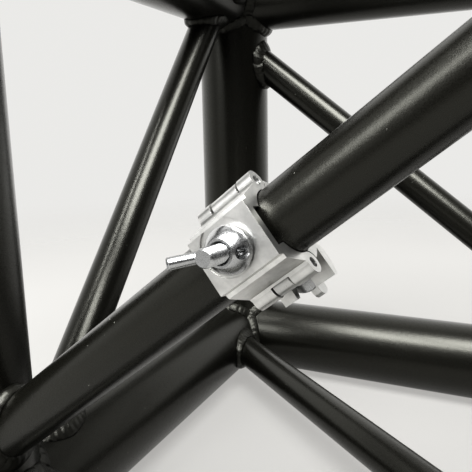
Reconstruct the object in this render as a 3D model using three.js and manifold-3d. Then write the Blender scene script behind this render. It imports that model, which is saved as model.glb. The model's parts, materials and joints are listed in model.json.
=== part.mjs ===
// A 610 mm (2 ft) section of welded box truss, 305 mm (12 in) square over its chords, with a small
// hinged half coupler clamped to one front lacing tube. Millimetres, +Z up, X along the section,
// the front at -Y. The origin is the middle of the underside of the whole object's box.

import * as THREE from 'three';
import { mergeVertices } from 'three/addons/utils/BufferGeometryUtils.js';
import Module from 'manifold-3d';

const wasm = await Module();
wasm.setup();

// ---- Driving dimensions of the truss ----
const CHORD_RADIUS = 25;
const CHORD_WALL = 3;
const BRACE_RADIUS = 10;
const BRACE_WALL = 2;
const SPACING = 255;            // chord centre to chord centre, both ways
const POST_PITCH = 560;         // end frame centre to end frame centre
const GAP = 0.3;                // clearance left at every welded or resting face
const TUBE_SIDES = 24;
const BRACE_SIDES = 16;

const SIDE_BRACE_ANGLE = THREE.MathUtils.degToRad(38.1);
const SIDE_BRACE_OFFSET = 38.0;     // a side brace's axis meets the chord axis this far past the post axis
const DECK_BRACE_ANGLE = THREE.MathUtils.degToRad(39.5);
const DECK_BRACE_OFFSET = 25.5;     // the same for the bottom and top braces
const END_BRACE_ANGLE = THREE.MathUtils.degToRad(50.8);
const BRACE_BURIED = 18;            // length cut away inside the tube that a brace is welded to

const INSERT_FLANGE = 3;            // welded end plug: flange, then a spigot inside the chord
const INSERT_SPIGOT = 16;
const INSERT_CHAMFER = 0.8;
const JOINT_BOLT_RADIUS = 5.1;      // tapped core of the plug, for an M12 bolt

// ---- Driving dimensions of the coupler (u along the tube, n outward, v towards the swing bolt) ----
const COUPLER_STATION = 159.2;      // along the front brace, from the post axis
const COUPLER_ROLL = THREE.MathUtils.degToRad(-3);
const SHELL_HALF_LENGTH = 10.2;
const BORE_RADIUS = BRACE_RADIUS + GAP;
const PLATE_HALF_WIDTH = 8.1;
const PLATE_FACE = 15;              // n of the plate's outer face
const PLATE_INNER = 12;
const RECESS_RADIUS = 7.9;
const RECESS_DEPTH = 0.6;
const RECESS_U = -0.9;              // the spot face is slightly off the plate's middle
const RECESS_V = -1.1;
const HINGE_V = -13.4;              // the jaw's hinge pin
const SWING_V = 13.6;               // the swing bolt's pin
const PIN_N = -0.5;
const PIN_RADIUS = 1.2;
const PIN_HOLE_RADIUS = 1.5;
const PIN_HALF_LENGTH = 9.6;
const KNUCKLE_RADIUS = 3.2;
const JAW_KNUCKLE_HALF = 4.7;       // half length of the jaw's single middle knuckle
const KNUCKLE_GAP = 0.7;            // end play on each side of it
const BOLT_SLOT_HALF = 3.2;         // half width of the slot that holds the swing bolt's eye
const JAW_RADIUS = 13.6;
const JAW_SPLIT = -0.4;             // n of the jaw's parting edge
const JAW_BASE = -12.4;             // n of the jaw's flat outer face
const EAR_TIP = 19.5;
const EAR_TOP = -8.6;
const EAR_REACH = 11.8;             // the ears' crowned seat is round the swing pin
const EAR_START = -8.2;             // the ears stop short of the shell's end on this side
const EAR_SLOT_HALF = 3.5;
const SHANK_RADIUS = 2;
const SHANK_LENGTH = 23;
const WASHER_RADIUS = 6;
const WASHER_THICK = 1.2;
const THREAD_CLEAR = 0.3;
const HUB_RADIUS = 5.5;
const HUB_HEIGHT = 5.7;
const WING_SPAN = 8.9;
const WING_THICK = 2.6;
const STUD_RADIUS = 2.5;
const STUD_TIP = 29.3;
const STUD_HEAD_HALF = 4;
const STUD_HEAD_LOW = 10.35;
const STUD_HEAD_HIGH = 11.7;
const NUT_TOP = 21.5;
const TOMMY_RADIUS = 1.7;           // cross hole for a bar
const TOMMY_HEIGHT = 19.3;
const ARM_RADIUS = 1.6;
const ARM_START = 3.1;
const ARM_END = 14.7;
const ARM_BORE = 1.0;
const ARM_TILT = THREE.MathUtils.degToRad(45);      // out of the plate's plane
const ARM_TURN = THREE.MathUtils.degToRad(25.7);    // round the stud
const ARM_HEIGHT = 18.5;            // n where the arm's axis crosses the stud's axis

// ---- Materials ----
const finish = (color, roughness, metalness) => new THREE.MeshStandardMaterial({ color, roughness, metalness });
const blackPowderCoat = () => finish(0x17181a, 0.42, 0.2);
const millAluminium = () => finish(0xb9bab6, 0.45, 0.9);
const satinAluminium = () => finish(0xcfcfcb, 0.3, 1.0);
const brightZinc = () => finish(0xdfe1e3, 0.14, 1.0);

// ---- Solids ----

// A closed three.js geometry as a solid: shared vertices merged, slivers on a lathe's axis dropped.
function toSolid(geometry) {
  const bare = geometry.clone();
  bare.deleteAttribute('normal');
  bare.deleteAttribute('uv');
  const merged = mergeVertices(bare, 1e-4);
  const source = merged.index.array;
  const triangles = [];
  for (let i = 0; i < source.length; i += 3) {
    const [a, b, c] = [source[i], source[i + 1], source[i + 2]];
    if (a !== b && b !== c && c !== a) triangles.push(a, b, c);
  }
  return new wasm.Manifold(new wasm.Mesh({
    numProp: 3,
    vertProperties: new Float32Array(merged.attributes.position.array),
    triVerts: new Uint32Array(triangles),
  }));
}

function toGeometry(solid) {
  const mesh = solid.getMesh();
  const geometry = new THREE.BufferGeometry();
  geometry.setAttribute('position', new THREE.BufferAttribute(new Float32Array(mesh.vertProperties), 3));
  geometry.setIndex(new THREE.BufferAttribute(new Uint32Array(mesh.triVerts), 1));
  geometry.computeVertexNormals();
  return geometry;
}

function part(name, solid, material) {
  const mesh = new THREE.Mesh(toGeometry(solid), material);
  mesh.name = name;
  return mesh;
}

// A body of revolution about the line from start towards end. Each profile point is [radius, distance].
function turned(profile, start, end, sides) {
  const points = profile.map(([radius, along]) => new THREE.Vector2(radius, along));
  const geometry = new THREE.LatheGeometry(points, sides);
  const direction = end.clone().sub(start).normalize();
  geometry.applyQuaternion(new THREE.Quaternion().setFromUnitVectors(new THREE.Vector3(0, 1, 0), direction));
  geometry.translate(start.x, start.y, start.z);
  return toSolid(geometry);
}

function rod(start, end, radius, sides) {
  const length = start.distanceTo(end);
  return turned([[0, 0], [radius, 0], [radius, length], [0, length]], start, end, sides);
}

function pipe(start, end, outer, inner, sides) {
  const length = start.distanceTo(end);
  return turned([[inner, 0], [outer, 0], [outer, length], [inner, length], [inner, 0]], start, end, sides);
}

function cutAll(solid, cutters) {
  return cutters.reduce((rest, cutter) => rest.subtract(cutter), solid);
}

const point = (x, y, z) => new THREE.Vector3(x, y, z);

// ---- Truss ----
const rows = [['rear', 0], ['front', -SPACING]];
const levels = [['bottom', 0], ['top', SPACING]];
const ends = [['left', 0, -1], ['right', POST_PITCH, 1]];
const cutRadius = CHORD_RADIUS + GAP;
const cutReach = 120;

const chordCutter = (y, z) => rod(
  point(-cutReach, y, z), point(POST_PITCH + cutReach, y, z), cutRadius, TUBE_SIDES);
const postCutter = (x, y) => rod(point(x, y, 0), point(x, y, SPACING), cutRadius, TUBE_SIDES);
const railCutter = (x, z) => rod(point(x, 0, z), point(x, -SPACING, z), cutRadius, TUBE_SIDES);

function chord(y, z) {
  const reach = CHORD_RADIUS - INSERT_FLANGE - GAP;
  return pipe(point(-reach, y, z), point(POST_PITCH + reach, y, z),
    CHORD_RADIUS, CHORD_RADIUS - CHORD_WALL, TUBE_SIDES);
}

function post(x, y) {
  const tube = pipe(point(x, y, 0), point(x, y, SPACING),
    CHORD_RADIUS, CHORD_RADIUS - CHORD_WALL, TUBE_SIDES);
  return cutAll(tube, [chordCutter(y, 0), chordCutter(y, SPACING)]);
}

function rail(x, z) {
  const tube = pipe(point(x, 0, z), point(x, -SPACING, z),
    CHORD_RADIUS, CHORD_RADIUS - CHORD_WALL, TUBE_SIDES);
  return cutAll(tube, [
    chordCutter(0, z), chordCutter(-SPACING, z), postCutter(x, 0), postCutter(x, -SPACING)]);
}

function brace(start, end, cutters) {
  const along = end.clone().sub(start).normalize().multiplyScalar(BRACE_BURIED);
  const tube = pipe(start.clone().add(along), end.clone().sub(along),
    BRACE_RADIUS, BRACE_RADIUS - BRACE_WALL, BRACE_SIDES);
  return cutAll(tube, cutters);
}

// A lacing tube in a side, bottom or top face. It starts beside an end frame and runs towards
// midspan, rising or falling by one chord spacing. toPoint places (along, across) in the face.
function lacing(angle, offset, mirrored, toPoint, cutters) {
  const run = SPACING / Math.tan(angle);
  const station = (along) => (mirrored ? POST_PITCH - along : along);
  return brace(toPoint(station(-offset), 0), toPoint(station(run - offset), SPACING), cutters);
}

const truss = new THREE.Group();

for (const [row, y] of rows) {
  for (const [level, z] of levels) {
    truss.add(part(`${level}_${row}_chord`, chord(y, z), blackPowderCoat()));
  }
}

for (const [end, x, outward] of ends) {
  for (const [row, y] of rows) {
    truss.add(part(`${end}_${row}_end_post`, post(x, y), blackPowderCoat()));
    for (const [level, z] of levels) {
      const face = point(x + outward * CHORD_RADIUS, y, z);
      const back = point(x, y, z);
      const spigot = CHORD_RADIUS - CHORD_WALL - GAP;
      const depth = INSERT_FLANGE + INSERT_SPIGOT;
      const profile = [
        [JOINT_BOLT_RADIUS, 0], [CHORD_RADIUS - INSERT_CHAMFER, 0], [CHORD_RADIUS, INSERT_CHAMFER],
        [CHORD_RADIUS, INSERT_FLANGE], [spigot, INSERT_FLANGE], [spigot, depth],
        [JOINT_BOLT_RADIUS, depth], [JOINT_BOLT_RADIUS, 0]];
      truss.add(part(`${end}_${level}_${row}_end_plug`,
        turned(profile, face, back, TUBE_SIDES), millAluminium()));
    }
  }
  for (const [level, z] of levels) {
    truss.add(part(`${end}_${level}_cross_tube`, rail(x, z), blackPowderCoat()));
  }
  const run = SPACING / Math.tan(END_BRACE_ANGLE);
  const inset = (SPACING - run) / 2;
  const endBrace = brace(point(x, -inset, SPACING), point(x, inset - SPACING, 0),
    [railCutter(x, 0), railCutter(x, SPACING), postCutter(x, 0), postCutter(x, -SPACING)]);
  truss.add(part(`${end}_end_diagonal`, endBrace, blackPowderCoat()));
}

for (const [end, x] of ends) {
  const mirrored = x > 0;
  const rearPoint = (along, across) => point(along, 0, SPACING - across);
  const frontPoint = (along, across) => point(along, -SPACING, across);
  for (const [row, y, toPoint] of [['rear', 0, rearPoint], ['front', -SPACING, frontPoint]]) {
    const cutters = [postCutter(x, y), chordCutter(y, 0), chordCutter(y, SPACING)];
    truss.add(part(`${row}_${end}_diagonal`,
      lacing(SIDE_BRACE_ANGLE, SIDE_BRACE_OFFSET, mirrored, toPoint, cutters), blackPowderCoat()));
  }
  for (const [level, z] of levels) {
    const deckPoint = (along, across) => point(along, -across, z);
    const cutters = [railCutter(x, z), chordCutter(0, z), chordCutter(-SPACING, z)];
    truss.add(part(`${level}_${end}_diagonal`,
      lacing(DECK_BRACE_ANGLE, DECK_BRACE_OFFSET, mirrored, deckPoint, cutters), blackPowderCoat()));
  }
}

// ---- Coupler: built with its tube axis on local X, its plate facing local +Y, its bolt on local +Z ----
const local = (u, v, n) => point(u, n, v);

// A prism along the tube from a (v, n) outline, between two stations along it.
function prism(outline, from, to) {
  const shape = new THREE.Shape(outline.map(([v, n]) => new THREE.Vector2(-v, n)));
  const geometry = new THREE.ExtrudeGeometry(shape, { depth: to - from, bevelEnabled: false });
  geometry.rotateY(Math.PI / 2);
  geometry.translate(from, 0, 0);
  return toSolid(geometry);
}

function block(from, to) {
  const size = to.clone().sub(from);
  const geometry = new THREE.BoxGeometry(size.x, size.y, size.z);
  geometry.translate((from.x + to.x) / 2, (from.y + to.y) / 2, (from.z + to.z) / 2);
  return toSolid(geometry);
}

const across = (v, n, half, radius, sides) => rod(local(-half, v, n), local(half, v, n), radius, sides);
const boreCutter = across(0, 0, 2 * SHELL_HALF_LENGTH, BORE_RADIUS, 48);
const LONG = SHELL_HALF_LENGTH + 1;

function frontShell() {
  const shoulder = PLATE_INNER + GAP;
  const outline = [
    [HINGE_V, PIN_N], [SWING_V, PIN_N], [SWING_V, PIN_N + KNUCKLE_RADIUS - 0.1], [12.4, 3.4],
    [9.6, shoulder], [PLATE_HALF_WIDTH + 0.3, shoulder + 0.4], [PLATE_HALF_WIDTH, PLATE_FACE],
    [-PLATE_HALF_WIDTH, PLATE_FACE], [-PLATE_HALF_WIDTH - 0.3, shoulder + 0.4], [-9.6, shoulder],
    [-12.4, 3.4], [HINGE_V, PIN_N + KNUCKLE_RADIUS - 0.1]];
  const body = prism(outline, -SHELL_HALF_LENGTH, SHELL_HALF_LENGTH)
    .add(across(HINGE_V, PIN_N, SHELL_HALF_LENGTH, KNUCKLE_RADIUS, 24))
    .add(across(SWING_V, PIN_N, SHELL_HALF_LENGTH, KNUCKLE_RADIUS, 24));
  const window = prism([[-5, 0], [5, 0], [5.8, PLATE_INNER], [-5.8, PLATE_INNER]], -LONG, LONG);
  const recess = rod(local(RECESS_U, RECESS_V, PLATE_FACE - RECESS_DEPTH),
    local(RECESS_U, RECESS_V, PLATE_FACE + 1), RECESS_RADIUS, 36);
  const studHole = rod(local(0, 0, PLATE_INNER - 1), local(0, 0, PLATE_FACE + 1), STUD_RADIUS + GAP, 20);
  const jawSlotHalf = JAW_KNUCKLE_HALF + KNUCKLE_GAP;
  const jawRelief = across(HINGE_V, PIN_N, jawSlotHalf, KNUCKLE_RADIUS + 0.2, 24)
    .add(block(local(-jawSlotHalf, -20, -6), local(jawSlotHalf, HINGE_V + 1, 2.9)));
  const boltRelief = across(SWING_V, PIN_N, BOLT_SLOT_HALF, KNUCKLE_RADIUS, 24)
    .add(block(local(-BOLT_SLOT_HALF, SWING_V - 1, -6), local(BOLT_SLOT_HALF, 20, 2.9)));
  return cutAll(body, [
    boreCutter, window, recess, studHole, jawRelief, boltRelief,
    across(HINGE_V, PIN_N, LONG, PIN_HOLE_RADIUS, 16), across(SWING_V, PIN_N, LONG, PIN_HOLE_RADIUS, 16)]);
}

function jaw() {
  const shell = across(0, 0, SHELL_HALF_LENGTH, JAW_RADIUS, 48)
    .intersect(prism([[-20, JAW_SPLIT], [-20, JAW_BASE], [20, JAW_BASE], [20, JAW_SPLIT]], -LONG, LONG));
  const earBlank = prism([[8, EAR_TOP], [8, JAW_BASE], [EAR_TIP, JAW_BASE], [EAR_TIP, EAR_TOP]],
    EAR_START, SHELL_HALF_LENGTH);
  const ears = earBlank.intersect(across(SWING_V, PIN_N, LONG, EAR_REACH, 64));
  const hingeRelief = across(HINGE_V, PIN_N, LONG, KNUCKLE_RADIUS + 0.4, 24);
  const boltRelief = across(SWING_V, PIN_N, LONG, KNUCKLE_RADIUS + 0.4, 24);
  const slot = block(local(-EAR_SLOT_HALF, 10.9, -20), local(EAR_SLOT_HALF, 24, 2));
  const knuckle = across(HINGE_V, PIN_N, JAW_KNUCKLE_HALF, KNUCKLE_RADIUS - 0.2, 24)
    .add(prism([[HINGE_V, PIN_N], [HINGE_V - 2.6, -2], [-11.6, -7], [-8, -7], [-8, JAW_SPLIT - 0.2]],
      -JAW_KNUCKLE_HALF, JAW_KNUCKLE_HALF));
  return cutAll(cutAll(shell.add(ears), [hingeRelief, boltRelief, slot]).add(knuckle),
    [boreCutter, across(HINGE_V, PIN_N, LONG, PIN_HOLE_RADIUS, 16)]);
}

function swingBolt() {
  const eye = across(SWING_V, PIN_N, BOLT_SLOT_HALF - GAP, KNUCKLE_RADIUS - 0.3, 24);
  const shank = rod(local(0, SWING_V, PIN_N), local(0, SWING_V, PIN_N - SHANK_LENGTH), SHANK_RADIUS, 16);
  return eye.add(shank).subtract(across(SWING_V, PIN_N, LONG, PIN_HOLE_RADIUS, 16));
}

const seatLevel = PIN_N - EAR_REACH - GAP;      // n of the washer's face that bears on the ears
const hubLevel = seatLevel - WASHER_THICK - GAP;

function thrustWasher() {
  return pipe(local(0, SWING_V, seatLevel), local(0, SWING_V, seatLevel - WASHER_THICK),
    WASHER_RADIUS, SHANK_RADIUS + THREAD_CLEAR, 24);
}

function wingNut() {
  const hole = SHANK_RADIUS + THREAD_CLEAR;
  const hub = turned([
    [hole, 0], [HUB_RADIUS, 0], [HUB_RADIUS - 0.6, HUB_HEIGHT], [hole, HUB_HEIGHT], [hole, 0]],
  local(0, SWING_V, hubLevel), local(0, SWING_V, hubLevel - HUB_HEIGHT), 24);
  const wing = (side) => {
    const reach = (u) => side * u;
    const outline = new THREE.Shape();
    outline.moveTo(reach(3.6), hubLevel - 0.4);
    outline.lineTo(reach(6.2), hubLevel - 0.6);
    outline.quadraticCurveTo(reach(WING_SPAN), hubLevel - 0.8, reach(WING_SPAN), hubLevel - 3.4);
    outline.quadraticCurveTo(reach(WING_SPAN), hubLevel - 6.8, reach(6.2), hubLevel - 6.4);
    outline.lineTo(reach(3.6), hubLevel - 5.0);
    const geometry = new THREE.ExtrudeGeometry(outline,
      { depth: WING_THICK, bevelEnabled: false, curveSegments: 6 });
    geometry.translate(0, 0, -WING_THICK / 2);
    geometry.rotateY(Math.PI / 2);
    geometry.translate(0, 0, SWING_V);
    return toSolid(geometry);
  };
  return hub.add(wing(1)).add(wing(-1));
}

function stud() {
  const head = block(local(-STUD_HEAD_HALF, -STUD_HEAD_HALF, STUD_HEAD_LOW),
    local(STUD_HEAD_HALF, STUD_HEAD_HALF, STUD_HEAD_HIGH));
  const shank = turned([
    [0, 0], [STUD_RADIUS, 0], [STUD_RADIUS, STUD_TIP - STUD_HEAD_HIGH], [STUD_RADIUS - 0.5,
      STUD_TIP - STUD_HEAD_HIGH + 0.5], [0, STUD_TIP - STUD_HEAD_HIGH + 0.5]],
  local(0, 0, STUD_HEAD_HIGH - 0.5), local(0, 0, STUD_TIP), 20);
  return head.add(shank);
}

const armAxis = local(
  -Math.cos(ARM_TILT) * Math.cos(ARM_TURN), -Math.cos(ARM_TILT) * Math.sin(ARM_TURN), Math.sin(ARM_TILT));
const armPoint = (distance) => local(0, 0, ARM_HEIGHT).addScaledVector(armAxis, distance);

function studNut() {
  const hole = STUD_RADIUS + THREAD_CLEAR;
  const base = PLATE_FACE - RECESS_DEPTH + GAP;
  const height = NUT_TOP - base;
  const body = turned([
    [hole, 0], [5.6, 0], [6.2, 0.7], [6.45, 1.7], [6.35, 2.7], [5.8, 4], [4.9, 5.4],
    [4.1, height - 0.4], [3.7, height], [hole, height], [hole, 0]],
  local(0, 0, base), local(0, 0, NUT_TOP), 32);
  const socket = rod(armPoint(0), armPoint(ARM_END), ARM_RADIUS + GAP, 16);
  const tommyHole = rod(local(0, 0, TOMMY_HEIGHT), local(7.4, 5.1, TOMMY_HEIGHT), TOMMY_RADIUS, 16);
  return cutAll(body, [socket, tommyHole]);
}

function nutArm() {
  const bore = rod(armPoint(ARM_END - 4), armPoint(ARM_END + 1), ARM_BORE, 16);
  const blank = rod(armPoint(ARM_START), armPoint(ARM_END), ARM_RADIUS, 20);
  const studClearance = rod(local(0, 0, 0), local(0, 0, 2 * STUD_TIP), STUD_RADIUS + THREAD_CLEAR, 20);
  return cutAll(blank, [bore, studClearance]);
}

const coupler = new THREE.Group();
coupler.add(part('coupler_front_shell', frontShell(), satinAluminium()));
coupler.add(part('coupler_jaw', jaw(), satinAluminium()));
coupler.add(part('hinge_pin', across(HINGE_V, PIN_N, PIN_HALF_LENGTH, PIN_RADIUS, 16), brightZinc()));
coupler.add(part('swing_bolt_pin', across(SWING_V, PIN_N, PIN_HALF_LENGTH, PIN_RADIUS, 16), brightZinc()));
coupler.add(part('swing_bolt', swingBolt(), brightZinc()));
coupler.add(part('thrust_washer', thrustWasher(), brightZinc()));
coupler.add(part('wing_nut', wingNut(), brightZinc()));
coupler.add(part('mounting_stud', stud(), brightZinc()));
coupler.add(part('stud_nut', studNut(), brightZinc()));
coupler.add(part('stud_nut_arm', nutArm(), brightZinc()));

// The coupler sits on the front left brace. Its plate faces the front, rolled slightly round the tube.
const braceU = point(Math.cos(SIDE_BRACE_ANGLE), 0, Math.sin(SIDE_BRACE_ANGLE));
const outward = point(0, -1, 0);
const braceV = braceU.clone().cross(outward);
const seatHeight = SIDE_BRACE_OFFSET * Math.tan(SIDE_BRACE_ANGLE);
coupler.quaternion
  .setFromRotationMatrix(new THREE.Matrix4().makeBasis(braceU, outward, braceV))
  .multiply(new THREE.Quaternion().setFromAxisAngle(point(1, 0, 0), COUPLER_ROLL));
coupler.position.copy(point(0, -SPACING, seatHeight).addScaledVector(braceU, COUPLER_STATION));

const model = new THREE.Group();
model.add(truss);
model.add(coupler);

// Move the middle of the underside of the whole box to the origin.
model.updateMatrixWorld(true);
const box = new THREE.Box3().setFromObject(model, true);
model.position.set(-(box.min.x + box.max.x) / 2, -(box.min.y + box.max.y) / 2, -box.min.z);
model.updateMatrixWorld(true);

export default model;
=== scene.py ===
"""Looks for the lighting truss section: fine coped tubes with weld beads, and the half coupler.

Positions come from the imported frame. Lengths in the constants below are in millimetres, apart from
the stage's, which are in metres.
"""
import json
import math

import bmesh
import bpy
import numpy as np
from mathutils import Matrix, Vector


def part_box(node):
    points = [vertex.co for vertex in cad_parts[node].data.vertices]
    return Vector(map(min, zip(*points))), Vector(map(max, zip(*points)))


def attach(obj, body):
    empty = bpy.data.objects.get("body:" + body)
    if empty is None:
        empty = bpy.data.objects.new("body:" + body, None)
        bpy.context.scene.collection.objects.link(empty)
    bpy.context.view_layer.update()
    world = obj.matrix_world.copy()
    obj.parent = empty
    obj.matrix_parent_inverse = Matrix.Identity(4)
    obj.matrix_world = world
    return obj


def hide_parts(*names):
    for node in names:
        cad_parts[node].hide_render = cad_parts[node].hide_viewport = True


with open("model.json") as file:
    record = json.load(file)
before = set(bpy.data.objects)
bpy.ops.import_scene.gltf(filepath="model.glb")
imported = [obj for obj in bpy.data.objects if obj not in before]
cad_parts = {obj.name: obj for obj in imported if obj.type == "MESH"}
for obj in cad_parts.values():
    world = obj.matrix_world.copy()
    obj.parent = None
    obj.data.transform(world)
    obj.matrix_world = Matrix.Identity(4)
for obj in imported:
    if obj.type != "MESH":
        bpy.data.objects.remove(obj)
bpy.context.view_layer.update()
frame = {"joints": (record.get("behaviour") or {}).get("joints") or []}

MM = 0.001

# ---- Driving dimensions: those that the CAD model also has are the same as there ----
CHORD_WALL = 3
BRACE_RADIUS = 10
SIDE_BRACE_ANGLE = math.radians(38.1)
SIDE_BRACE_OFFSET = 38.0
DECK_BRACE_ANGLE = math.radians(39.5)
DECK_BRACE_OFFSET = 25.5
END_BRACE_ANGLE = math.radians(50.8)
GAP = 0.3
SINK = 0.4                  # how far a tube's end runs into the tube it is welded to

INSERT_FLANGE = 3
INSERT_SPIGOT = 16
INSERT_CHAMFER = 0.8
JOINT_BOLT_RADIUS = 5.1

# Weld beads: (leg length, ripple pitch), the ripples' profile, shares of the leg or the pitch, depths
THICK_BEAD = (4.4, 3.4)
THIN_BEAD = (4.4, 3.1)
RIPPLE = (0.0, 0.34, 0.62, 0.85, 1.0, 0.55)
RIPPLE_GROWTH = 0.03        # how much wider the bead is at a ripple's top
WANDER_GROWTH = 0.06        # how much its width changes at random from ripple to ripple
CROWN = 0.12                # how far the bead's middle stands above its toes
RIPPLE_CROWN = 0.045        # what a ripple's top adds to that
RIPPLE_LEAN = 0.45          # how far the middle of each ripple is drawn along the bead
UNDER_WIDTH = 0.98          # the hidden underside's width as a share of the bead's
UNDER_DEPTH = 0.7           # how far the underside's edges lie below the toes
ROOT_DEPTH = 1.0            # how far the root runs into the joint
WELD_SEED = 7

# Coupler, in its own (u along the tube, v towards the swing bolt, n outward) frame
SHELL_HALF_LENGTH = 10.2
BORE_RADIUS = BRACE_RADIUS + GAP
PLATE_HALF_WIDTH = 8.1
PLATE_FACE = 15
PLATE_INNER = 12
FLANK_V = 9.6               # the shell's side runs from here, under the plate's edge,
SHOULDER_V = 12.4           # down to here, where it meets the knuckle
SHOULDER_N = 3.4
WINDOW_FOOT = 5             # half widths of the window under the plate: at the tube's axis
WINDOW_TOP = 5.8            # and at the plate
RECESS_RADIUS = 7.9
RECESS_DEPTH = 0.6
RECESS_U = -0.9
RECESS_V = -1.1
HINGE_V = -13.4
SWING_V = 13.6
PIN_N = -0.5
PIN_RADIUS = 1.2
PIN_HOLE_RADIUS = 1.5
PIN_HALF_LENGTH = 9.6
KNUCKLE_RADIUS = 3.2
JAW_KNUCKLE_HALF = 4.7
KNUCKLE_GAP = 0.7
BOLT_SLOT_HALF = 3.2
JAW_RADIUS = 13.6
JAW_SPLIT = -0.4
JAW_BASE = -12.4
EAR_TIP = 19.5
EAR_TOP = -8.6
EAR_REACH = 11.8
EAR_START = -8.2
EAR_SLOT_HALF = 3.5
SHANK_RADIUS = 2
SHANK_LENGTH = 23
SHANK_PITCH = 0.7
WASHER_RADIUS = 6
WASHER_THICK = 1.2
THREAD_CLEAR = 0.3
HUB_RADIUS = 5.5
HUB_HEIGHT = 5.7
WING_SPAN = 8.9
WING_THICK = 2.6
STUD_RADIUS = 2.5
STUD_TIP = 29.3
STUD_PITCH = 0.8
STUD_HEAD_HALF = 4
STUD_HEAD_LOW = 10.35
STUD_HEAD_HIGH = 11.7
NUT_TOP = 21.5
TOMMY_RADIUS = 1.7
TOMMY_HEIGHT = 19.3
TOMMY_END = (7.4, 5.1)
ARM_RADIUS = 1.6
ARM_START = 3.1
ARM_END = 14.7
ARM_BORE = 1.0
ARM_TILT = math.radians(45)
ARM_TURN = math.radians(25.7)
ARM_HEIGHT = 18.5

# How finely round things are divided, and how their edges are rounded
TUBE_SIDES = 96
FINE_SIDES = 64
EDGE_SEGMENTS = 3
MERGE_DISTANCE = 0.05       # points closer than this become one before the edges are rounded

# Stage: distances, and the brightness of the surroundings
FLOOR_FADE = (0.55, 1.5)
FLOOR_GLOW = 0.38           # stands for the room light that reaches a pale floor from all round
WALL_SIDE = (-0.52, 0.79, -0.3)
ROOM_DIM = 0.06
WALL_BRIGHT = 1.3
BACKGROUND_BRIGHT = 0.70


# ---- Materials ----

class Nodes:
    """A material's node tree, with short calls for the nodes used here."""

    def __init__(self, name):
        self.material = bpy.data.materials.new(name)
        self.material.use_nodes = True
        self.tree = self.material.node_tree
        self.shader = self.tree.nodes["Principled BSDF"]

    def add(self, kind, inputs=None, **settings):
        node = self.tree.nodes.new(kind)
        for key, value in settings.items():
            setattr(node, key, value)
        for key, value in (inputs or {}).items():
            if isinstance(value, bpy.types.NodeSocket):
                self.tree.links.new(value, node.inputs[key])
            else:
                node.inputs[key].default_value = value
        return node

    def place(self, stretch=(1, 1, 1)):
        """Object coordinates in metres, stretched along the axes."""
        coordinates = self.add("ShaderNodeTexCoord")
        mapping = self.add("ShaderNodeMapping", {"Vector": coordinates.outputs["Object"]})
        mapping.inputs["Scale"].default_value = stretch
        return mapping.outputs["Vector"]

    def noise(self, vector, scale, detail, roughness=0.5):
        node = self.add("ShaderNodeTexNoise", {
            "Vector": vector, "Scale": scale, "Detail": detail, "Roughness": roughness})
        return node.outputs["Fac"]

    def remap(self, value, from_low, from_high, to_low, to_high):
        node = self.add("ShaderNodeMapRange", {
            "Value": value, "From Min": from_low, "From Max": from_high,
            "To Min": to_low, "To Max": to_high})
        return node.outputs["Result"]

    def mix(self, factor, first, second):
        node = self.add("ShaderNodeMix", {"Factor": factor}, data_type="RGBA")
        node.inputs["A"].default_value = (*first, 1)
        node.inputs["B"].default_value = (*second, 1)
        return node.outputs["Result"]

    def bump(self, height, distance, strength, normal=None):
        node = self.add("ShaderNodeBump", {
            "Height": height, "Distance": distance, "Strength": strength})
        if normal is not None:
            self.tree.links.new(normal, node.inputs["Normal"])
        return node.outputs["Normal"]

    def set(self, **values):
        for key, value in values.items():
            socket = self.shader.inputs[key.replace("_", " ")]
            if isinstance(value, bpy.types.NodeSocket):
                self.tree.links.new(value, socket)
            else:
                socket.default_value = value
        return self.material


def powder_coat(name, welded=False):
    """Satin black powder coat: faint orange peel, fine grain, pale specks of dust; rougher on welds."""
    n = Nodes(name)
    place = n.place()
    cloud = n.noise(place, 28.0, 4.0)
    grain = n.noise(place, 2600.0, 2.0, 0.6)
    peel = n.noise(place, 420.0, 2.0, 0.55)
    cells = n.add("ShaderNodeTexVoronoi", {"Vector": place, "Scale": 260.0})
    speck = n.remap(cells.outputs["Distance"], 0.02, 0.045, 1.0, 0.0)
    picker = n.noise(place, 64.0, 1.0)
    chosen = n.remap(picker, 0.57, 0.59, 0.0, 1.0)
    dust = n.add("ShaderNodeMath", {0: speck, 1: chosen}, operation="MULTIPLY").outputs[0]
    base = n.mix(cloud, (0.0022, 0.0021, 0.0016), (0.0038, 0.0037, 0.0028))
    colour = n.add("ShaderNodeMix", {"Factor": dust, "A": base}, data_type="RGBA")
    colour.inputs["B"].default_value = (0.42, 0.42, 0.38, 1)
    rough = n.remap(grain, 0.3, 0.7, 0.25, 0.33)
    normal = n.bump(peel, 0.00012, 0.35)
    normal = n.bump(grain, 0.00003, 0.5, normal)
    if welded:
        normal = n.bump(n.noise(place, 900.0, 3.0, 0.6), 0.0003, 0.6, normal)
        rough = n.remap(grain, 0.3, 0.7, 0.34, 0.46)
    return n.set(Base_Color=colour.outputs["Result"], Roughness=rough, Normal=normal,
                 Specular_IOR_Level=0.36, IOR=1.5, Specular_Tint=(1.0, 1.0, 0.9, 1))


def satin_aluminium(name):
    """Tumbled aluminium: soft mottling, broad stains and a fine grain."""
    n = Nodes(name)
    place = n.place()
    mottle = n.noise(place, 240.0, 4.0, 0.6)
    grain = n.noise(place, 5200.0, 2.0, 0.7)
    stain = n.noise(place, 75.0, 2.0, 0.5)
    depth = n.add("ShaderNodeMath", {0: mottle, 1: stain}, operation="MULTIPLY").outputs[0]
    base = n.mix(n.remap(depth, 0.12, 0.38, 0.0, 1.0), (0.45, 0.45, 0.438), (0.69, 0.685, 0.665))
    rough = n.remap(grain, 0.25, 0.75, 0.27, 0.41)
    normal = n.bump(n.noise(place, 1500.0, 3.0, 0.6), 0.00004, 0.5)
    normal = n.bump(grain, 0.00001, 0.4, normal)
    return n.set(Base_Color=base, Metallic=1.0, Roughness=rough, Normal=normal)


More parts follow.
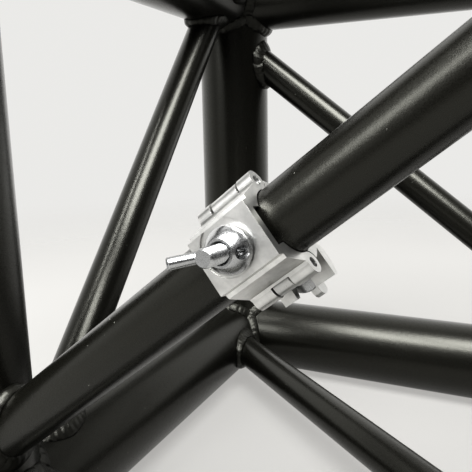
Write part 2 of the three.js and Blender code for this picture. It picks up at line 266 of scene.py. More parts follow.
def bright_zinc(name, shades=((0.33, 0.334, 0.337), (0.50, 0.504, 0.504)), polish=(0.19, 0.32)):
    """Zinc plate: nearly a mirror when bright, with faint milky patches and a finely uneven surface."""
    n = Nodes(name)
    place = n.place()
    patch = n.noise(place, 420.0, 3.0, 0.55)
    fine = n.noise(place, 3800.0, 3.0, 0.7)
    base = n.mix(patch, *shades)
    rough = n.remap(fine, 0.3, 0.7, *polish)
    normal = n.bump(n.noise(place, 1300.0, 2.0, 0.5), 0.00003, 0.3)
    return n.set(Base_Color=base, Metallic=1.0, Roughness=rough, Normal=normal)


def turned_aluminium(name):
    """Machined end plug: faced aluminium with fine tool marks and a dull grey film."""
    n = Nodes(name)
    place = n.place()
    film = n.noise(place, 70.0, 4.0, 0.55)
    marks = n.noise(n.place((1.0, 30.0, 30.0)), 90.0, 2.0, 0.5)
    base = n.mix(film, (0.42, 0.42, 0.41), (0.60, 0.60, 0.585))
    rough = n.remap(marks, 0.3, 0.7, 0.30, 0.48)
    normal = n.bump(marks, 0.00004, 0.4)
    return n.set(Base_Color=base, Metallic=1.0, Roughness=rough, Normal=normal)


coat = powder_coat("satin_black_powder_coat")
bead_coat = powder_coat("powder_coat_over_weld", welded=True)
aluminium = satin_aluminium("tumbled_aluminium")
zinc = bright_zinc("bright_zinc_plate")
dull_zinc = bright_zinc("dull_zinc_plate", ((0.34, 0.34, 0.33), (0.52, 0.52, 0.51)), (0.26, 0.40))
plug_metal = turned_aluminium("machined_aluminium")


# ---- Mesh building ----

def new_object(name, vertices, faces, material=None):
    mesh = bpy.data.meshes.new(name)
    mesh.from_pydata([tuple(v) for v in vertices], [], faces)
    shape = bmesh.new()
    shape.from_mesh(mesh)
    bmesh.ops.remove_doubles(shape, verts=shape.verts, dist=1e-8)
    bmesh.ops.recalc_face_normals(shape, faces=shape.faces)
    shape.to_mesh(mesh)
    shape.free()
    obj = bpy.data.objects.new(name, mesh)
    bpy.context.scene.collection.objects.link(obj)
    if material is not None:
        mesh.materials.append(material)
    return obj


def smooth(obj, angle):
    for polygon in obj.data.polygons:
        polygon.use_smooth = True
    obj.data.set_sharp_from_angle(angle=math.radians(angle))


def basis(direction):
    """A direction made unit length, and two unit vectors square to it."""
    d = np.array(direction, float)
    d = d / np.linalg.norm(d)
    other = np.array([0.0, 0.0, 1.0]) if abs(d[2]) < 0.9 else np.array([1.0, 0.0, 0.0])
    first = np.cross(other, d)
    first /= np.linalg.norm(first)
    return d, first, np.cross(d, first)


def ring_faces(rings, sides, closed):
    """Quads between rings of equal vertex count; closed joins the last ring to the first."""
    faces = []
    count = rings if closed else rings - 1
    for i in range(count):
        a = i * sides
        b = ((i + 1) % rings) * sides
        for k in range(sides):
            m = (k + 1) % sides
            faces.append((a + k, a + m, b + m, b + k))
    return faces


def lathe(profile, start, end, sides=FINE_SIDES):
    """Vertices and faces of a turned body from start towards end, from (radius, distance) points.

    A profile that starts and ends on the axis is a solid; one that ends at its first point is a ring.
    """
    d, e1, e2 = basis(np.array(end, float) - np.array(start, float))
    ring = profile[0] == profile[-1]
    points = profile[:-1] if ring else profile
    vertices = []
    for radius, along in points:
        for k in range(sides):
            a = 2 * math.pi * k / sides
            away = math.cos(a) * e1 + math.sin(a) * e2
            vertices.append(np.array(start) + d * along + radius * away)
    return vertices, ring_faces(len(points), sides, ring)


class Cutter:
    """A round tube that others are coped to, between two distances along its axis."""

    def __init__(self, start, end, radius, bounded=False):
        self.start = np.array(start, float)
        span = np.array(end, float) - self.start
        self.length = np.linalg.norm(span)
        self.axis = span / self.length
        self.radius = radius
        self.bounded = bounded

    def depth(self, points, radius):
        """How far points lie inside a cylinder of that radius on this axis: positive inside."""
        offset = points - self.start
        along = offset @ self.axis
        away = np.linalg.norm(offset - along[:, None] * self.axis, axis=1)
        inside = radius - away
        if self.bounded:
            inside = np.minimum(inside, np.minimum(along, self.length - along))
        return inside


def coped_ends(start, end, radius, cutters, sides, sink):
    """Where each straight line of the tube's surface meets the tubes at its two ends."""
    start = np.array(start, float)
    end = np.array(end, float)
    d, e1, e2 = basis(end - start)
    length = np.linalg.norm(end - start)
    angles = 2 * math.pi * np.arange(sides) / sides
    around = np.cos(angles)[:, None] * e1 + np.sin(angles)[:, None] * e2
    lines = start + radius * around
    reach = []
    steps = 300
    halvings = 30
    for sign in (-1, 1):
        near = np.full(sides, length / 2)
        step = length / (2 * steps) * sign
        far = near.copy()
        hit = np.zeros(sides, bool)
        for _ in range(steps):
            far = np.where(hit, far, near + step)
            inside = depth_of(lines + far[:, None] * d, cutters, sink) > 0
            fresh = inside & ~hit
            hit |= fresh
            near = np.where(hit, near, far)
        for _ in range(halvings):
            middle = (near + far) / 2
            inside = depth_of(lines + middle[:, None] * d, cutters, sink) > 0
            far = np.where(inside, middle, far)
            near = np.where(inside, near, middle)
        reach.append((near + far) / 2)
    return lines, around, d, reach


def depth_of(points, cutters, sink):
    return np.max([c.depth(points, c.radius - sink) for c in cutters], axis=0)


def coped_tube(start, end, radius, cutters, sides):
    """A closed tube surface whose two ends follow the tubes that it is welded to."""
    lines, _, d, (low, high) = coped_ends(start, end, radius, cutters, sides, SINK * MM)
    rings = 9
    vertices = []
    for i in range(rings):
        share = i / (rings - 1)
        vertices.extend(lines + (low + (high - low) * share)[:, None] * d)
    faces = ring_faces(rings, sides, False)
    for first, level in ((0, low), ((rings - 1) * sides, high)):
        vertices.append(np.mean(lines, axis=0) + float(np.mean(level)) * d)
        centre = len(vertices) - 1
        for k in range(sides):
            faces.append((first + k, first + (k + 1) % sides, centre))
    return vertices, faces


def neighbour_normals(points, cutters):
    """The outward direction, at each point, of the tube that the point lies deepest in."""
    depths = np.array([c.depth(points, c.radius) for c in cutters])
    deepest = np.argmax(depths, axis=0)
    normals = np.zeros_like(points)
    for i, cutter in enumerate(cutters):
        offset = points - cutter.start
        radial = offset - (offset @ cutter.axis)[:, None] * cutter.axis
        radial /= np.linalg.norm(radial, axis=1)[:, None]
        normals[deepest == i] = radial[deepest == i]
    return normals


def evened(rows, reach):
    """Rows of a closed loop, each averaged with its neighbours and made unit length."""
    total = sum(np.roll(rows, k, axis=0) for k in range(-reach, reach + 1))
    return total / np.linalg.norm(total, axis=1)[:, None]


def weld_beads(start, end, radius, cutters, size, rng):
    """Rippled fillet welds along both coped ends of a tube."""
    leg, pitch = size[0] * MM, size[1] * MM
    vertices, faces = [], []
    arc_points = 9
    section = arc_points + 3
    fine = 720
    lines, around, d, reach = coped_ends(start, end, radius, cutters, fine, 0.0)
    for level in reach:
        path = lines + level[:, None] * d
        steps = np.linalg.norm(np.roll(path, -1, axis=0) - path, axis=1)
        distance = np.concatenate([[0], np.cumsum(steps)])
        ripples = max(8, round(distance[-1] / pitch))
        samples = ripples * len(RIPPLE)
        wanted = np.arange(samples) / samples * distance[-1]
        loop = np.vstack([path, path[:1]])
        outward = np.vstack([around, around[:1]])
        at = np.stack([np.interp(wanted, distance, loop[:, k]) for k in range(3)], axis=1)
        own = np.stack([np.interp(wanted, distance, outward[:, k]) for k in range(3)], axis=1)
        other = evened(neighbour_normals(at, cutters), 5)
        tangent = evened(np.roll(at, -1, axis=0) - np.roll(at, 1, axis=0), 2)
        lift = own + other
        lift -= np.sum(lift * tangent, axis=1)[:, None] * tangent
        lift = evened(lift / np.linalg.norm(lift, axis=1)[:, None], 3)
        side = np.cross(tangent, lift)
        half_angle = math.pi / 2 - np.arccos(np.clip(np.sum(own * other, axis=1), -1, 1)) / 2
        wander = rng.normal(0, 1, ripples)
        base = len(vertices)
        for i in range(samples):
            ripple = RIPPLE[i % len(RIPPLE)]
            share = (i % len(RIPPLE)) / len(RIPPLE)
            turn = i // len(RIPPLE)
            drift = wander[turn] * (1 - share) + wander[(turn + 1) % ripples] * share
            here = leg * (1 + RIPPLE_GROWTH * ripple + WANDER_GROWTH * drift)
            toe_across = here * math.sin(half_angle[i])
            toe_up = here * math.cos(half_angle[i])
            crown = here * (CROWN + RIPPLE_CROWN * ripple)
            for k in range(arc_points):
                s = 2 * k / (arc_points - 1) - 1
                crest = 1 - s * s
                vertices.append(at[i] + side[i] * toe_across * s + lift[i] * (toe_up + crown * crest)
                                + tangent[i] * RIPPLE_LEAN * pitch * crest)
            under = lift[i] * (toe_up - UNDER_DEPTH * MM)
            vertices.append(at[i] + side[i] * toe_across * UNDER_WIDTH + under)
            vertices.append(at[i] - lift[i] * ROOT_DEPTH * MM)
            vertices.append(at[i] - side[i] * toe_across * UNDER_WIDTH + under)
        faces.extend(tuple(base + j for j in face) for face in ring_faces(samples, section, True))
    grounded = [np.array((v[0], v[1], max(v[2], 0.0))) for v in vertices]
    return grounded, faces


# ---- Where the truss is ----

def centre(node):
    low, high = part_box(node)
    return (low + high) / 2


chord_low, chord_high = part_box("bottom_rear_chord")
chord_radius = (chord_high.z - chord_low.z) / 2
row_y = {"rear": centre("bottom_rear_chord").y, "front": centre("bottom_front_chord").y}
level_z = {"bottom": centre("bottom_rear_chord").z, "top": centre("top_rear_chord").z}
end_x = {"left": centre("left_rear_end_post").x, "right": centre("right_rear_end_post").x}
spacing = row_y["rear"] - row_y["front"]
outward_x = {"left": -1, "right": 1}

chord_cutters = {
    (level, row): Cutter((-1, y, z), (1, y, z), chord_radius)
    for level, z in level_z.items() for row, y in row_y.items()}
post_cutters = {
    (end, row): Cutter((x, y, level_z["bottom"]), (x, y, level_z["top"]), chord_radius, bounded=True)
    for end, x in end_x.items() for row, y in row_y.items()}
rail_cutters = {
    (end, level): Cutter((x, row_y["rear"], z), (x, row_y["front"], z), chord_radius)
    for end, x in end_x.items() for level, z in level_z.items()}
rng = np.random.default_rng(WELD_SEED)


def settle(piece, angle, node=None):
    """Shades a piece of the welded truss and lets it ride; a node is the CAD node it stands for."""
    smooth(piece, angle)
    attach(piece, "truss")
    if node:
        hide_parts(node)


def welded_tube(node, start, end, radius, cutters, bead):
    """The tube that stands for a CAD node, and its two weld beads."""
    sides = TUBE_SIDES if radius > BRACE_RADIUS * MM * 1.5 else FINE_SIDES
    tube = new_object(node + "_tube", *coped_tube(start, end, radius, cutters, sides), coat)
    settle(tube, 40, node)
    beads = new_object(node + "_welds", *weld_beads(start, end, radius, cutters, bead, rng), bead_coat)
    settle(beads, 80)


def build_chord(level, row):
    """A hollow chord with chamfered ends, as long as its CAD node."""
    node = f"{level}_{row}_chord"
    low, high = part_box(node)
    start = np.array((low.x, row_y[row], level_z[level]))
    ahead = np.array((1.0, 0, 0))
    length = high.x - low.x
    inner = chord_radius - CHORD_WALL * MM
    edge = 0.4 * MM
    profile = [(inner, 0), (chord_radius - edge, 0), (chord_radius, edge),
               (chord_radius, length - edge), (chord_radius - edge, length), (inner, length), (inner, 0)]
    tube = new_object(node + "_tube", *lathe(profile, start, start + ahead, TUBE_SIDES), coat)
    settle(tube, 40, node)


def build_plug(end, level, row):
    """A flanged plug in a chord's end, with a tapped hole."""
    node = f"{end}_{level}_{row}_end_plug"
    low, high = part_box(node)
    face_x = low.x if end == "left" else high.x
    start = np.array((face_x, row_y[row], level_z[level]))
    inward = np.array((-outward_x[end], 0.0, 0.0))
    flange, depth = INSERT_FLANGE * MM, (INSERT_FLANGE + INSERT_SPIGOT) * MM
    chamfer = INSERT_CHAMFER * MM
    hole = JOINT_BOLT_RADIUS * MM
    spigot = chord_radius - (CHORD_WALL + GAP) * MM
    mouth = 0.7 * MM
    pitch = 1.75 * MM
    groove = 0.5 * MM
    thread = []
    turns = int((depth - 2 * mouth) / pitch)
    for i in range(turns):
        thread.append((hole, depth - mouth - i * pitch))
        thread.append((hole + groove, depth - mouth - (i + 0.5) * pitch))
    profile = [(hole + mouth, 0), (chord_radius - chamfer, 0), (chord_radius, chamfer),
               (chord_radius, flange), (spigot, flange), (spigot, depth), (hole + mouth, depth),
               *thread, (hole, mouth), (hole + mouth, 0)]
    plug = new_object(node + "_turned", *lathe(profile, start, start + inward, TUBE_SIDES), plug_metal)
    settle(plug, 30, node)


def build_truss():
    for level in level_z:
        for row in row_y:
            build_chord(level, row)
    for end, x in end_x.items():
        for row, y in row_y.items():
            welded_tube(f"{end}_{row}_end_post", (x, y, level_z["bottom"]), (x, y, level_z["top"]),
                        chord_radius, [chord_cutters["bottom", row], chord_cutters["top", row]],
                        THICK_BEAD)
            for level in level_z:
                build_plug(end, level, row)
        for level, z in level_z.items():
            welded_tube(f"{end}_{level}_cross_tube", (x, row_y["rear"], z), (x, row_y["front"], z),
                        chord_radius, [chord_cutters[level, "rear"], chord_cutters[level, "front"],
                                       post_cutters[end, "rear"], post_cutters[end, "front"]], THICK_BEAD)
        inset = (spacing - spacing / math.tan(END_BRACE_ANGLE)) / 2
        welded_tube(f"{end}_end_diagonal", (x, row_y["rear"] - inset, level_z["top"]),
                    (x, row_y["front"] + inset, level_z["bottom"]), BRACE_RADIUS * MM,
                    [rail_cutters[end, "bottom"], rail_cutters[end, "top"],
                     post_cutters[end, "rear"], post_cutters[end, "front"]], THIN_BEAD)
        build_lacing(end, x)


def build_lacing(end, x):
    """The four lacing tubes that start at one end frame and run to midspan."""
    inward = -outward_x[end]
    side_run = spacing / math.tan(SIDE_BRACE_ANGLE)
    side_offset = SIDE_BRACE_OFFSET * MM
    side_near = x - inward * side_offset
    side_far = x + inward * (side_run - side_offset)
    for row, first, last in (("rear", "top", "bottom"), ("front", "bottom", "top")):
        y = row_y[row]
        welded_tube(f"{row}_{end}_diagonal", (side_near, y, level_z[first]), (side_far, y, level_z[last]),
                    BRACE_RADIUS * MM,
                    [post_cutters[end, row], chord_cutters["bottom", row], chord_cutters["top", row]],
                    THIN_BEAD)
    deck_run = spacing / math.tan(DECK_BRACE_ANGLE)
    deck_offset = DECK_BRACE_OFFSET * MM
    for level, z in level_z.items():
        welded_tube(f"{level}_{end}_diagonal", (x - inward * deck_offset, row_y["rear"], z),
                    (x + inward * (deck_run - deck_offset), row_y["front"], z), BRACE_RADIUS * MM,
                    [rail_cutters[end, level], chord_cutters[level, "rear"],
                     chord_cutters[level, "front"]],
                    THIN_BEAD)


# ---- Coupler: its own frame, from the joints ----

joints = {joint["name"]: joint for joint in frame["joints"]}
along_tube = Vector(joints["jaw_open"]["axis"]).normalized()
face_normal = Vector(joints["stud_nut_spin"]["axis"]).normalized()
bolt_side = along_tube.cross(face_normal).normalized()
hinge_at = Vector(joints["jaw_open"]["pos_m"])
coupler_origin = hinge_at - bolt_side * HINGE_V * MM - face_normal * PIN_N * MM
coupler_space = Matrix.Translation(coupler_origin) @ Matrix((
    (along_tube.x, bolt_side.x, face_normal.x, 0),
    (along_tube.y, bolt_side.y, face_normal.y, 0),
    (along_tube.z, bolt_side.z, face_normal.z, 0),
    (0, 0, 0, 1))) @ Matrix.Scale(MM, 4)
LONG = SHELL_HALF_LENGTH + 1


def raw(vertices, faces):
    """A closed body in coupler millimetres, (u, v, n), not yet shown."""
    return new_object("work", vertices, faces)


def rod(start, end, radius, sides=FINE_SIDES):
    length = float(np.linalg.norm(np.array(end, float) - np.array(start, float)))
    vertices, faces = lathe([(radius, 0), (radius, length)], start, end, sides)
    faces.append(tuple(range(sides)))
    faces.append(tuple(range(sides, 2 * sides)))
    return raw(vertices, faces)


def cross_rod(v, n, half, radius, sides=FINE_SIDES):
    return rod((-half, v, n), (half, v, n), radius, sides)


def prism(outline, low, high):
    """A body along the tube from a (v, n) outline."""
    count = len(outline)
    vertices = [(low, v, n) for v, n in outline] + [(high, v, n) for v, n in outline]
    faces = [tuple(range(count)), tuple(range(count, 2 * count))]
    faces += [(k, (k + 1) % count, count + (k + 1) % count, count + k) for k in range(count)]
    return raw(vertices, faces)


def block(low, high):
    (u0, v0, n0), (u1, v1, n1) = low, high
    return prism([(v0, n0), (v1, n0), (v1, n1), (v0, n1)], u0, u1)


def combine(body, tools, operation="DIFFERENCE"):
    """Cuts or joins bodies for good, and removes the tools."""
    for tool in tools:
        modifier = body.modifiers.new("combine", "BOOLEAN")
        modifier.operation = operation
        modifier.solver = "EXACT"
        modifier.object = tool
    graph = bpy.context.evaluated_depsgraph_get()
    finished = bpy.data.meshes.new_from_object(body.evaluated_get(graph))
    body.modifiers.clear()
    body.data = finished
    for tool in tools:
        bpy.data.objects.remove(tool)
    return body


def split_wide_faces(obj):
    """Splits every face into triangles, so that one round a hole never spans it."""
    split = obj.modifiers.new("split_wide_faces", "TRIANGULATE")
    split.quad_method = "BEAUTY"
    split.ngon_method = "CLIP"
    split.keep_custom_normals = True


def finish_piece(obj, name, nodes, body, material, round_edges=0.0, angle=28):
    """Puts a piece of the coupler in place, rounds its edges and lets it ride on its body.

    The rounding is at most round_edges wide. It narrows on the whole piece when any edge is short.
    """
    shape = bmesh.new()
    shape.from_mesh(obj.data)
    bmesh.ops.remove_doubles(shape, verts=shape.verts, dist=MERGE_DISTANCE)
    shape.transform(coupler_space)
    bmesh.ops.recalc_face_normals(shape, faces=shape.faces)
    mesh = bpy.data.meshes.new(name)
    shape.to_mesh(mesh)
    shape.free()
    obj.data = mesh
    obj.name = name
    mesh.materials.append(material)
    if round_edges:
        bevel = obj.modifiers.new("round_edges", "BEVEL")
        bevel.width = round_edges * MM
        bevel.segments = EDGE_SEGMENTS
        bevel.limit_method = "ANGLE"
        bevel.angle_limit = math.radians(angle)
        bevel.miter_outer = "MITER_ARC"
        weighted = obj.modifiers.new("even_shading", "WEIGHTED_NORMAL")
        weighted.keep_sharp = True
        for polygon in mesh.polygons:
            polygon.use_smooth = True
    else:
        smooth(obj, angle)
    split_wide_faces(obj)
    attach(obj, body)
    if nodes:
        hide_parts(*nodes)


def build_front_shell():
    """The flat plate and the shell under it, with two knuckles for each pin."""
    shoulder = PLATE_INNER + GAP
    knuckle_top = PIN_N + KNUCKLE_RADIUS - 0.1
    outline = [
        (HINGE_V, PIN_N), (SWING_V, PIN_N), (SWING_V, knuckle_top), (SHOULDER_V, SHOULDER_N),
        (FLANK_V, shoulder), (PLATE_HALF_WIDTH + 0.3, shoulder + 0.4), (PLATE_HALF_WIDTH, PLATE_FACE),
        (-PLATE_HALF_WIDTH, PLATE_FACE), (-PLATE_HALF_WIDTH - 0.3, shoulder + 0.4), (-FLANK_V, shoulder),
        (-SHOULDER_V, SHOULDER_N), (HINGE_V, knuckle_top)]
    body = prism(outline, -SHELL_HALF_LENGTH, SHELL_HALF_LENGTH)
    combine(body, [cross_rod(HINGE_V, PIN_N, SHELL_HALF_LENGTH, KNUCKLE_RADIUS),
                   cross_rod(SWING_V, PIN_N, SHELL_HALF_LENGTH, KNUCKLE_RADIUS)], "UNION")
    wide = JAW_KNUCKLE_HALF + KNUCKLE_GAP
    combine(body, [
        cross_rod(0, 0, LONG, BORE_RADIUS, TUBE_SIDES),
        prism([(-WINDOW_FOOT, 0), (WINDOW_FOOT, 0), (WINDOW_TOP, PLATE_INNER),
               (-WINDOW_TOP, PLATE_INNER)], -LONG, LONG),
        rod((RECESS_U, RECESS_V, PLATE_FACE - RECESS_DEPTH), (RECESS_U, RECESS_V, PLATE_FACE + 1),
            RECESS_RADIUS, TUBE_SIDES),
        rod((0, 0, PLATE_INNER - 1), (0, 0, PLATE_FACE + 1), STUD_RADIUS + GAP),
        cross_rod(HINGE_V, PIN_N, wide, KNUCKLE_RADIUS + 0.2),
        block((-wide, -20, -6), (wide, HINGE_V + 1, 2.9)),
        cross_rod(SWING_V, PIN_N, BOLT_SLOT_HALF, KNUCKLE_RADIUS),
        block((-BOLT_SLOT_HALF, SWING_V - 1, -6), (BOLT_SLOT_HALF, 20, 2.9)),
        cross_rod(HINGE_V, PIN_N, LONG, PIN_HOLE_RADIUS),
        cross_rod(SWING_V, PIN_N, LONG, PIN_HOLE_RADIUS)])
    finish_piece(body, "front_shell", ["coupler_front_shell"], "coupler_body",
                 aluminium, 0.3)


def build_jaw():
    """The back shell: a half ring with a hinge knuckle and a pair of ears for the bolt."""
    lower_half = prism([(-20, JAW_SPLIT), (-20, JAW_BASE), (20, JAW_BASE), (20, JAW_SPLIT)], -LONG, LONG)
    ring = combine(cross_rod(0, 0, SHELL_HALF_LENGTH, JAW_RADIUS, TUBE_SIDES), [lower_half], "INTERSECT")
    ears = combine(prism([(8, EAR_TOP), (8, JAW_BASE), (EAR_TIP, JAW_BASE), (EAR_TIP, EAR_TOP)],
                         EAR_START, SHELL_HALF_LENGTH),
                   [cross_rod(SWING_V, PIN_N, LONG, EAR_REACH, TUBE_SIDES)], "INTERSECT")
    body = combine(ring, [ears], "UNION")
    combine(body, [cross_rod(HINGE_V, PIN_N, LONG, KNUCKLE_RADIUS + 0.4),
                   cross_rod(SWING_V, PIN_N, LONG, KNUCKLE_RADIUS + 0.4),
                   block((-EAR_SLOT_HALF, 10.9, -20), (EAR_SLOT_HALF, 24, 2))])
    web = prism([(HINGE_V, PIN_N), (HINGE_V - 2.6, -2), (-11.6, -7), (-8, -7), (-8, JAW_SPLIT - 0.2)],
                -JAW_KNUCKLE_HALF, JAW_KNUCKLE_HALF)
    knuckle = combine(cross_rod(HINGE_V, PIN_N, JAW_KNUCKLE_HALF, KNUCKLE_RADIUS - 0.2), [web], "UNION")
    combine(body, [knuckle], "UNION")
    combine(body, [cross_rod(0, 0, LONG, BORE_RADIUS, TUBE_SIDES),
                   cross_rod(HINGE_V, PIN_N, LONG, PIN_HOLE_RADIUS)])
    finish_piece(body, "jaw_shell", ["coupler_jaw"], "jaw", aluminium, 0.3)


def build_pin(name, node, v):
    """A plain pin with chamfered ends, along the tube."""
    edge = 0.25
    length = 2 * PIN_HALF_LENGTH
    profile = [(0, 0), (PIN_RADIUS - edge, 0), (PIN_RADIUS, edge), (PIN_RADIUS, length - edge),
               (PIN_RADIUS - edge, length), (0, length)]
    pin = raw(*lathe(profile, (-PIN_HALF_LENGTH, v, PIN_N), (PIN_HALF_LENGTH, v, PIN_N)))
    finish_piece(pin, name, [node], "coupler_body", zinc)


def threaded(start, end, radius, pitch, plain, sides=40):
    """A threaded shank as rings whose radius follows the helix, with a plain stretch at its root."""
    d, e1, e2 = basis(np.array(end, float) - np.array(start, float))
    length = float(np.linalg.norm(np.array(end, float) - np.array(start, float)))
    depth = 0.55 * pitch
    flank = 1.25
    chamfer = 0.45
    rings_per_turn = 8
    levels = np.arange(0, length + 1e-6, pitch / rings_per_turn)
    vertices = []
    for level in levels:
        for k in range(sides):
            share = k / sides
            wave = (level / pitch - share) % 1.0
            tooth = 1 - abs(2 * wave - 1)
            run_in = min(1.0, max(0.0, (level - plain) / pitch))
            cap = radius - max(0.0, chamfer - (length - level))
            here = min(radius - depth * (1 - min(1.0, tooth * flank)) * run_in, cap)
            a = 2 * math.pi * share
            away = math.cos(a) * e1 + math.sin(a) * e2
            vertices.append(np.array(start) + d * level + here * away)
    faces = ring_faces(len(levels), sides, False)
    faces.append(tuple(range(sides)))
    faces.append(tuple(range((len(levels) - 1) * sides, len(levels) * sides)))
    return raw(vertices, faces)


def build_swing_bolt():
    """An eye on the pin, and a threaded shank down between the ears."""
    eye = combine(cross_rod(SWING_V, PIN_N, BOLT_SLOT_HALF - GAP, KNUCKLE_RADIUS - 0.3),
                  [cross_rod(SWING_V, PIN_N, LONG, PIN_HOLE_RADIUS)])
    finish_piece(eye, "swing_bolt_eye", ["swing_bolt"], "swing_bolt", dull_zinc, 0.35)
    top = PIN_N - (PIN_HOLE_RADIUS + 0.4)
    plain = 4.0
    shank = threaded((0, SWING_V, top), (0, SWING_V, PIN_N - SHANK_LENGTH), SHANK_RADIUS, SHANK_PITCH,
                     plain)
    finish_piece(shank, "swing_bolt_shank", [], "swing_bolt", zinc, angle=50)


seat_level = PIN_N - EAR_REACH - GAP
hub_level = seat_level - WASHER_THICK - GAP


def build_washer():
    """The thrust washer between the ears and the wing nut."""
    hole = SHANK_RADIUS + THREAD_CLEAR
    edge = 0.2
    profile = [(hole, 0), (WASHER_RADIUS - edge, 0), (WASHER_RADIUS, edge),
               (WASHER_RADIUS, WASHER_THICK - edge), (WASHER_RADIUS - edge, WASHER_THICK),
               (hole, WASHER_THICK), (hole, 0)]
    washer = raw(*lathe(profile, (0, SWING_V, seat_level), (0, SWING_V, seat_level - 1)))
    finish_piece(washer, "washer_ring", ["thrust_washer"], "thrust_washer", zinc)


def quadratic(start, control, end, steps=8):
    """Points of a quadratic curve after its start."""
    points = []
    for i in range(1, steps + 1):
        t = i / steps
        points.append(tuple((1 - t) ** 2 * a + 2 * t * (1 - t) * b + t * t * c
                            for a, b, c in zip(start, control, end)))
    return points


def build_wing_nut():
    """A round hub with two short thick wings."""
    hole = SHANK_RADIUS + THREAD_CLEAR
    edge = 0.4
    profile = [(hole, 0), (HUB_RADIUS - edge, 0), (HUB_RADIUS, edge),
               (HUB_RADIUS - 0.5, HUB_HEIGHT - edge), (HUB_RADIUS - 0.6 - edge, HUB_HEIGHT),
               (hole, HUB_HEIGHT), (hole, 0)]
    hub = raw(*lathe(profile, (0, SWING_V, hub_level), (0, SWING_V, hub_level - 1)))
    outline = [(3.6, -0.4), (6.2, -0.6),
               *quadratic((6.2, -0.6), (WING_SPAN, -0.8), (WING_SPAN, -3.4)),
               *quadratic((WING_SPAN, -3.4), (WING_SPAN, -6.8), (6.2, -6.4)),
               (3.6, -5.0)]
    wings = [prism([(SWING_V + side * v, hub_level + n) for v, n in outline],
                   -WING_THICK / 2, WING_THICK / 2)
             for side in (1, -1)]
    nut = combine(hub, wings, "UNION")
    finish_piece(nut, "wing_nut_body", ["wing_nut"], "wing_nut", dull_zinc, 0.3)


def build_stud():
    """The threaded stud through the plate, and the square head that holds it under the plate."""
    half = STUD_HEAD_HALF
    head = block((-half, -half, STUD_HEAD_LOW), (half, half, STUD_HEAD_HIGH))
    finish_piece(head, "stud_head", ["mounting_stud"], "coupler_body", zinc, 0.25)
    plain = 1.0
    shank = threaded((0, 0, STUD_HEAD_HIGH - 0.3), (0, 0, STUD_TIP), STUD_RADIUS, STUD_PITCH, plain, 48)
    finish_piece(shank, "stud_thread", [], "coupler_body", zinc, angle=30)


def smooth_profile(points, steps=5):
    """A smooth curve through profile points, from the first to the last."""
    p = [np.array(q, float) for q in (points[0], *points, points[-1])]
    curve = [tuple(points[0])]
    for i in range(1, len(p) - 2):
        for k in range(1, steps + 1):
            t = k / steps
            q = 0.5 * (2 * p[i] + (p[i + 1] - p[i - 1]) * t
                       + (2 * p[i - 1] - 5 * p[i] + 4 * p[i + 1] - p[i + 2]) * t ** 2
                       + (3 * p[i] - p[i - 1] - 3 * p[i + 1] + p[i + 2]) * t ** 3)
            curve.append(tuple(q))
    return curve


arm_axis = np.array((-math.cos(ARM_TILT) * math.cos(ARM_TURN),
                     -math.cos(ARM_TILT) * math.sin(ARM_TURN),
                     math.sin(ARM_TILT)))


def arm_point(distance):
    return np.array((0, 0, ARM_HEIGHT)) + arm_axis * distance


def build_stud_nut():
    """A round nut with a full belly and a domed top, cross-drilled for a bar."""
    hole = STUD_RADIUS + THREAD_CLEAR
    base = PLATE_FACE - RECESS_DEPTH + GAP
    height = NUT_TOP - base
    belly = smooth_profile([(5.6, 0), (6.2, 0.7), (6.45, 1.7), (6.35, 2.7), (5.8, 4), (4.9, 5.4),
                            (4.1, height - 0.4), (3.7, height)])
    profile = [(hole, 0), *belly, (hole + 0.3, height), (hole, height - 0.3), (hole, 0)]
    nut = raw(*lathe(profile, (0, 0, base), (0, 0, NUT_TOP), TUBE_SIDES))
    combine(nut, [rod(arm_point(0), arm_point(ARM_END), ARM_RADIUS + 0.1),
                  rod((0, 0, TOMMY_HEIGHT), (*TOMMY_END, TOMMY_HEIGHT), TOMMY_RADIUS)])
    finish_piece(nut, "flanged_nut", ["stud_nut"], "stud_nut", zinc, angle=32)


def build_nut_arm():
    """The round arm that stands out of the nut, with a blind bore in its end."""
    edge = 0.2
    length = ARM_END - ARM_START
    profile = [(0, 0), (ARM_RADIUS, 0), (ARM_RADIUS, length - edge), (ARM_RADIUS - edge, length),
               (ARM_BORE + 0.1, length), (ARM_BORE, length - 0.1), (ARM_BORE, length - 4),
               (0, length - 4.4)]
    arm = raw(*lathe(profile, arm_point(ARM_START), arm_point(ARM_END)))
    combine(arm, [rod((0, 0, 0), (0, 0, 2 * STUD_TIP), STUD_RADIUS + THREAD_CLEAR)])
    finish_piece(arm, "nut_arm", ["stud_nut_arm"], "stud_nut", zinc, angle=32)


def build_coupler():
    build_front_shell()
    build_jaw()
    build_pin("hinge_pin_turned", "hinge_pin", HINGE_V)
    build_pin("swing_pin_turned", "swing_bolt_pin", SWING_V)
    build_swing_bolt()
    build_washer()
    build_wing_nut()
    build_stud()
    build_stud_nut()
    build_nut_arm()


# ---- Stage: camera, floor and light ----

def build_camera():
    """Just outside the front face, looking a little down towards the rear left corner."""
    data = bpy.data.cameras.new("camera")
    camera = bpy.data.objects.new("camera", data)
    bpy.context.scene.collection.objects.link(camera)
    right = Vector((0.90578, 0.42337, -0.0181))
    down = Vector((0.06203, -0.17471, -0.98266))
    ahead = right.cross(down)
    corner = Vector((end_x["left"], row_y["rear"], level_z["bottom"]))
    place = corner + Vector((184.26, -393.21, 157.78)) * MM
    camera.matrix_world = Matrix.Translation(place) @ Matrix((
        (right.x, -down.x, -ahead.x, 0), (right.y, -down.y, -ahead.y, 0),
        (right.z, -down.z, -ahead.z, 0), (0, 0, 0, 1)))
    data.sensor_width = 36
    data.lens = 42.27
    data.clip_start = 0.01
    bpy.context.scene.camera = camera


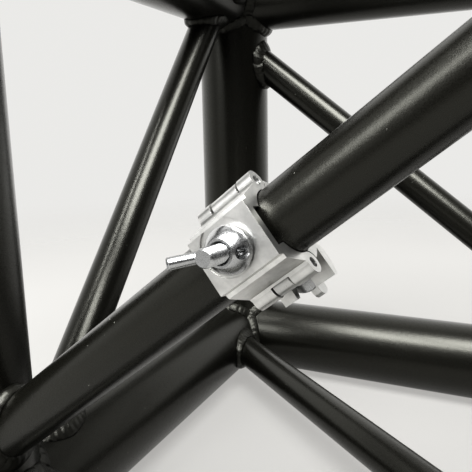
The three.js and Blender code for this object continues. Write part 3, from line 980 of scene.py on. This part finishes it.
def build_floor():
    """A pale floor that fades into the pale background a metre or so away."""
    size = 3.0
    corners = [(-size, -size, 0), (size, -size, 0), (size, size, 0), (-size, size, 0)]
    floor = new_object("floor", corners, [(0, 1, 2, 3)])
    n = Nodes("pale_floor")
    place = n.place()
    shade = n.mix(n.noise(place, 3.0, 4.0), (0.085, 0.084, 0.081), (0.1, 0.099, 0.095))
    away = n.add("ShaderNodeVectorMath", {0: place}, operation="LENGTH").outputs["Value"]
    fade = n.add("ShaderNodeMapRange", {
        "Value": away, "From Min": FLOOR_FADE[0], "From Max": FLOOR_FADE[1],
        "To Min": 1.0, "To Max": 0.0}, interpolation_type="SMOOTHSTEP")
    floor.data.materials.append(n.set(
        Base_Color=shade, Roughness=0.75, Alpha=fade.outputs["Result"],
        Emission_Color=(1.0, 0.985, 0.955, 1), Emission_Strength=FLOOR_GLOW))


def area_light(name, place, target, size, power):
    data = bpy.data.lights.new(name, "AREA")
    data.shape = "RECTANGLE"
    data.size, data.size_y = size
    data.energy = power
    light = bpy.data.objects.new(name, data)
    bpy.context.scene.collection.objects.link(light)
    light.location = place
    light.rotation_euler = (Vector(target) - Vector(place)).to_track_quat("-Z", "Y").to_euler()


def build_world():
    """A dim room with a pale wall behind the section; the plain background itself is pale all round."""
    world = bpy.data.worlds.new("soft_room")
    world.use_nodes = True
    tree = world.node_tree
    background = tree.nodes["Background"]
    coordinates = tree.nodes.new("ShaderNodeTexCoord")
    facing = tree.nodes.new("ShaderNodeVectorMath")
    facing.operation = "DOT_PRODUCT"
    facing.inputs[1].default_value = WALL_SIDE
    wall = tree.nodes.new("ShaderNodeMapRange")
    wall.interpolation_type = "SMOOTHSTEP"
    edges = {"From Min": -0.7, "From Max": 0.6, "To Min": ROOM_DIM, "To Max": WALL_BRIGHT}
    for key, value in edges.items():
        wall.inputs[key].default_value = value
    path = tree.nodes.new("ShaderNodeLightPath")
    pick = tree.nodes.new("ShaderNodeMix")
    pick.inputs["B"].default_value = BACKGROUND_BRIGHT
    tree.links.new(coordinates.outputs["Generated"], facing.inputs[0])
    tree.links.new(facing.outputs["Value"], wall.inputs["Value"])
    tree.links.new(path.outputs["Is Camera Ray"], pick.inputs["Factor"])
    tree.links.new(wall.outputs["Result"], pick.inputs["A"])
    tree.links.new(pick.outputs["Result"], background.inputs["Strength"])
    background.inputs["Color"].default_value = (1.0, 0.995, 0.975, 1)
    bpy.context.scene.world = world


def build_light():
    build_world()
    area_light("key_softbox", (0.0, -0.62, 1.4), (-0.15, 0, 0.15), (1.45, 1.0), 108)
    area_light("side_softbox", (-0.95, -1.27, 0.94), (-0.15, -0.1, 0.18), (0.5, 0.6), 9.5)
    area_light("front_fill", (-0.9, -1.5, 0.3), (-0.15, -0.1, 0.18), (1.0, 0.6), 1.2)
    bpy.context.scene.view_settings.view_transform = "Standard"
    bpy.context.scene.view_settings.look = "Medium High Contrast"


build_truss()
build_coupler()
build_camera()
build_floor()
build_light()
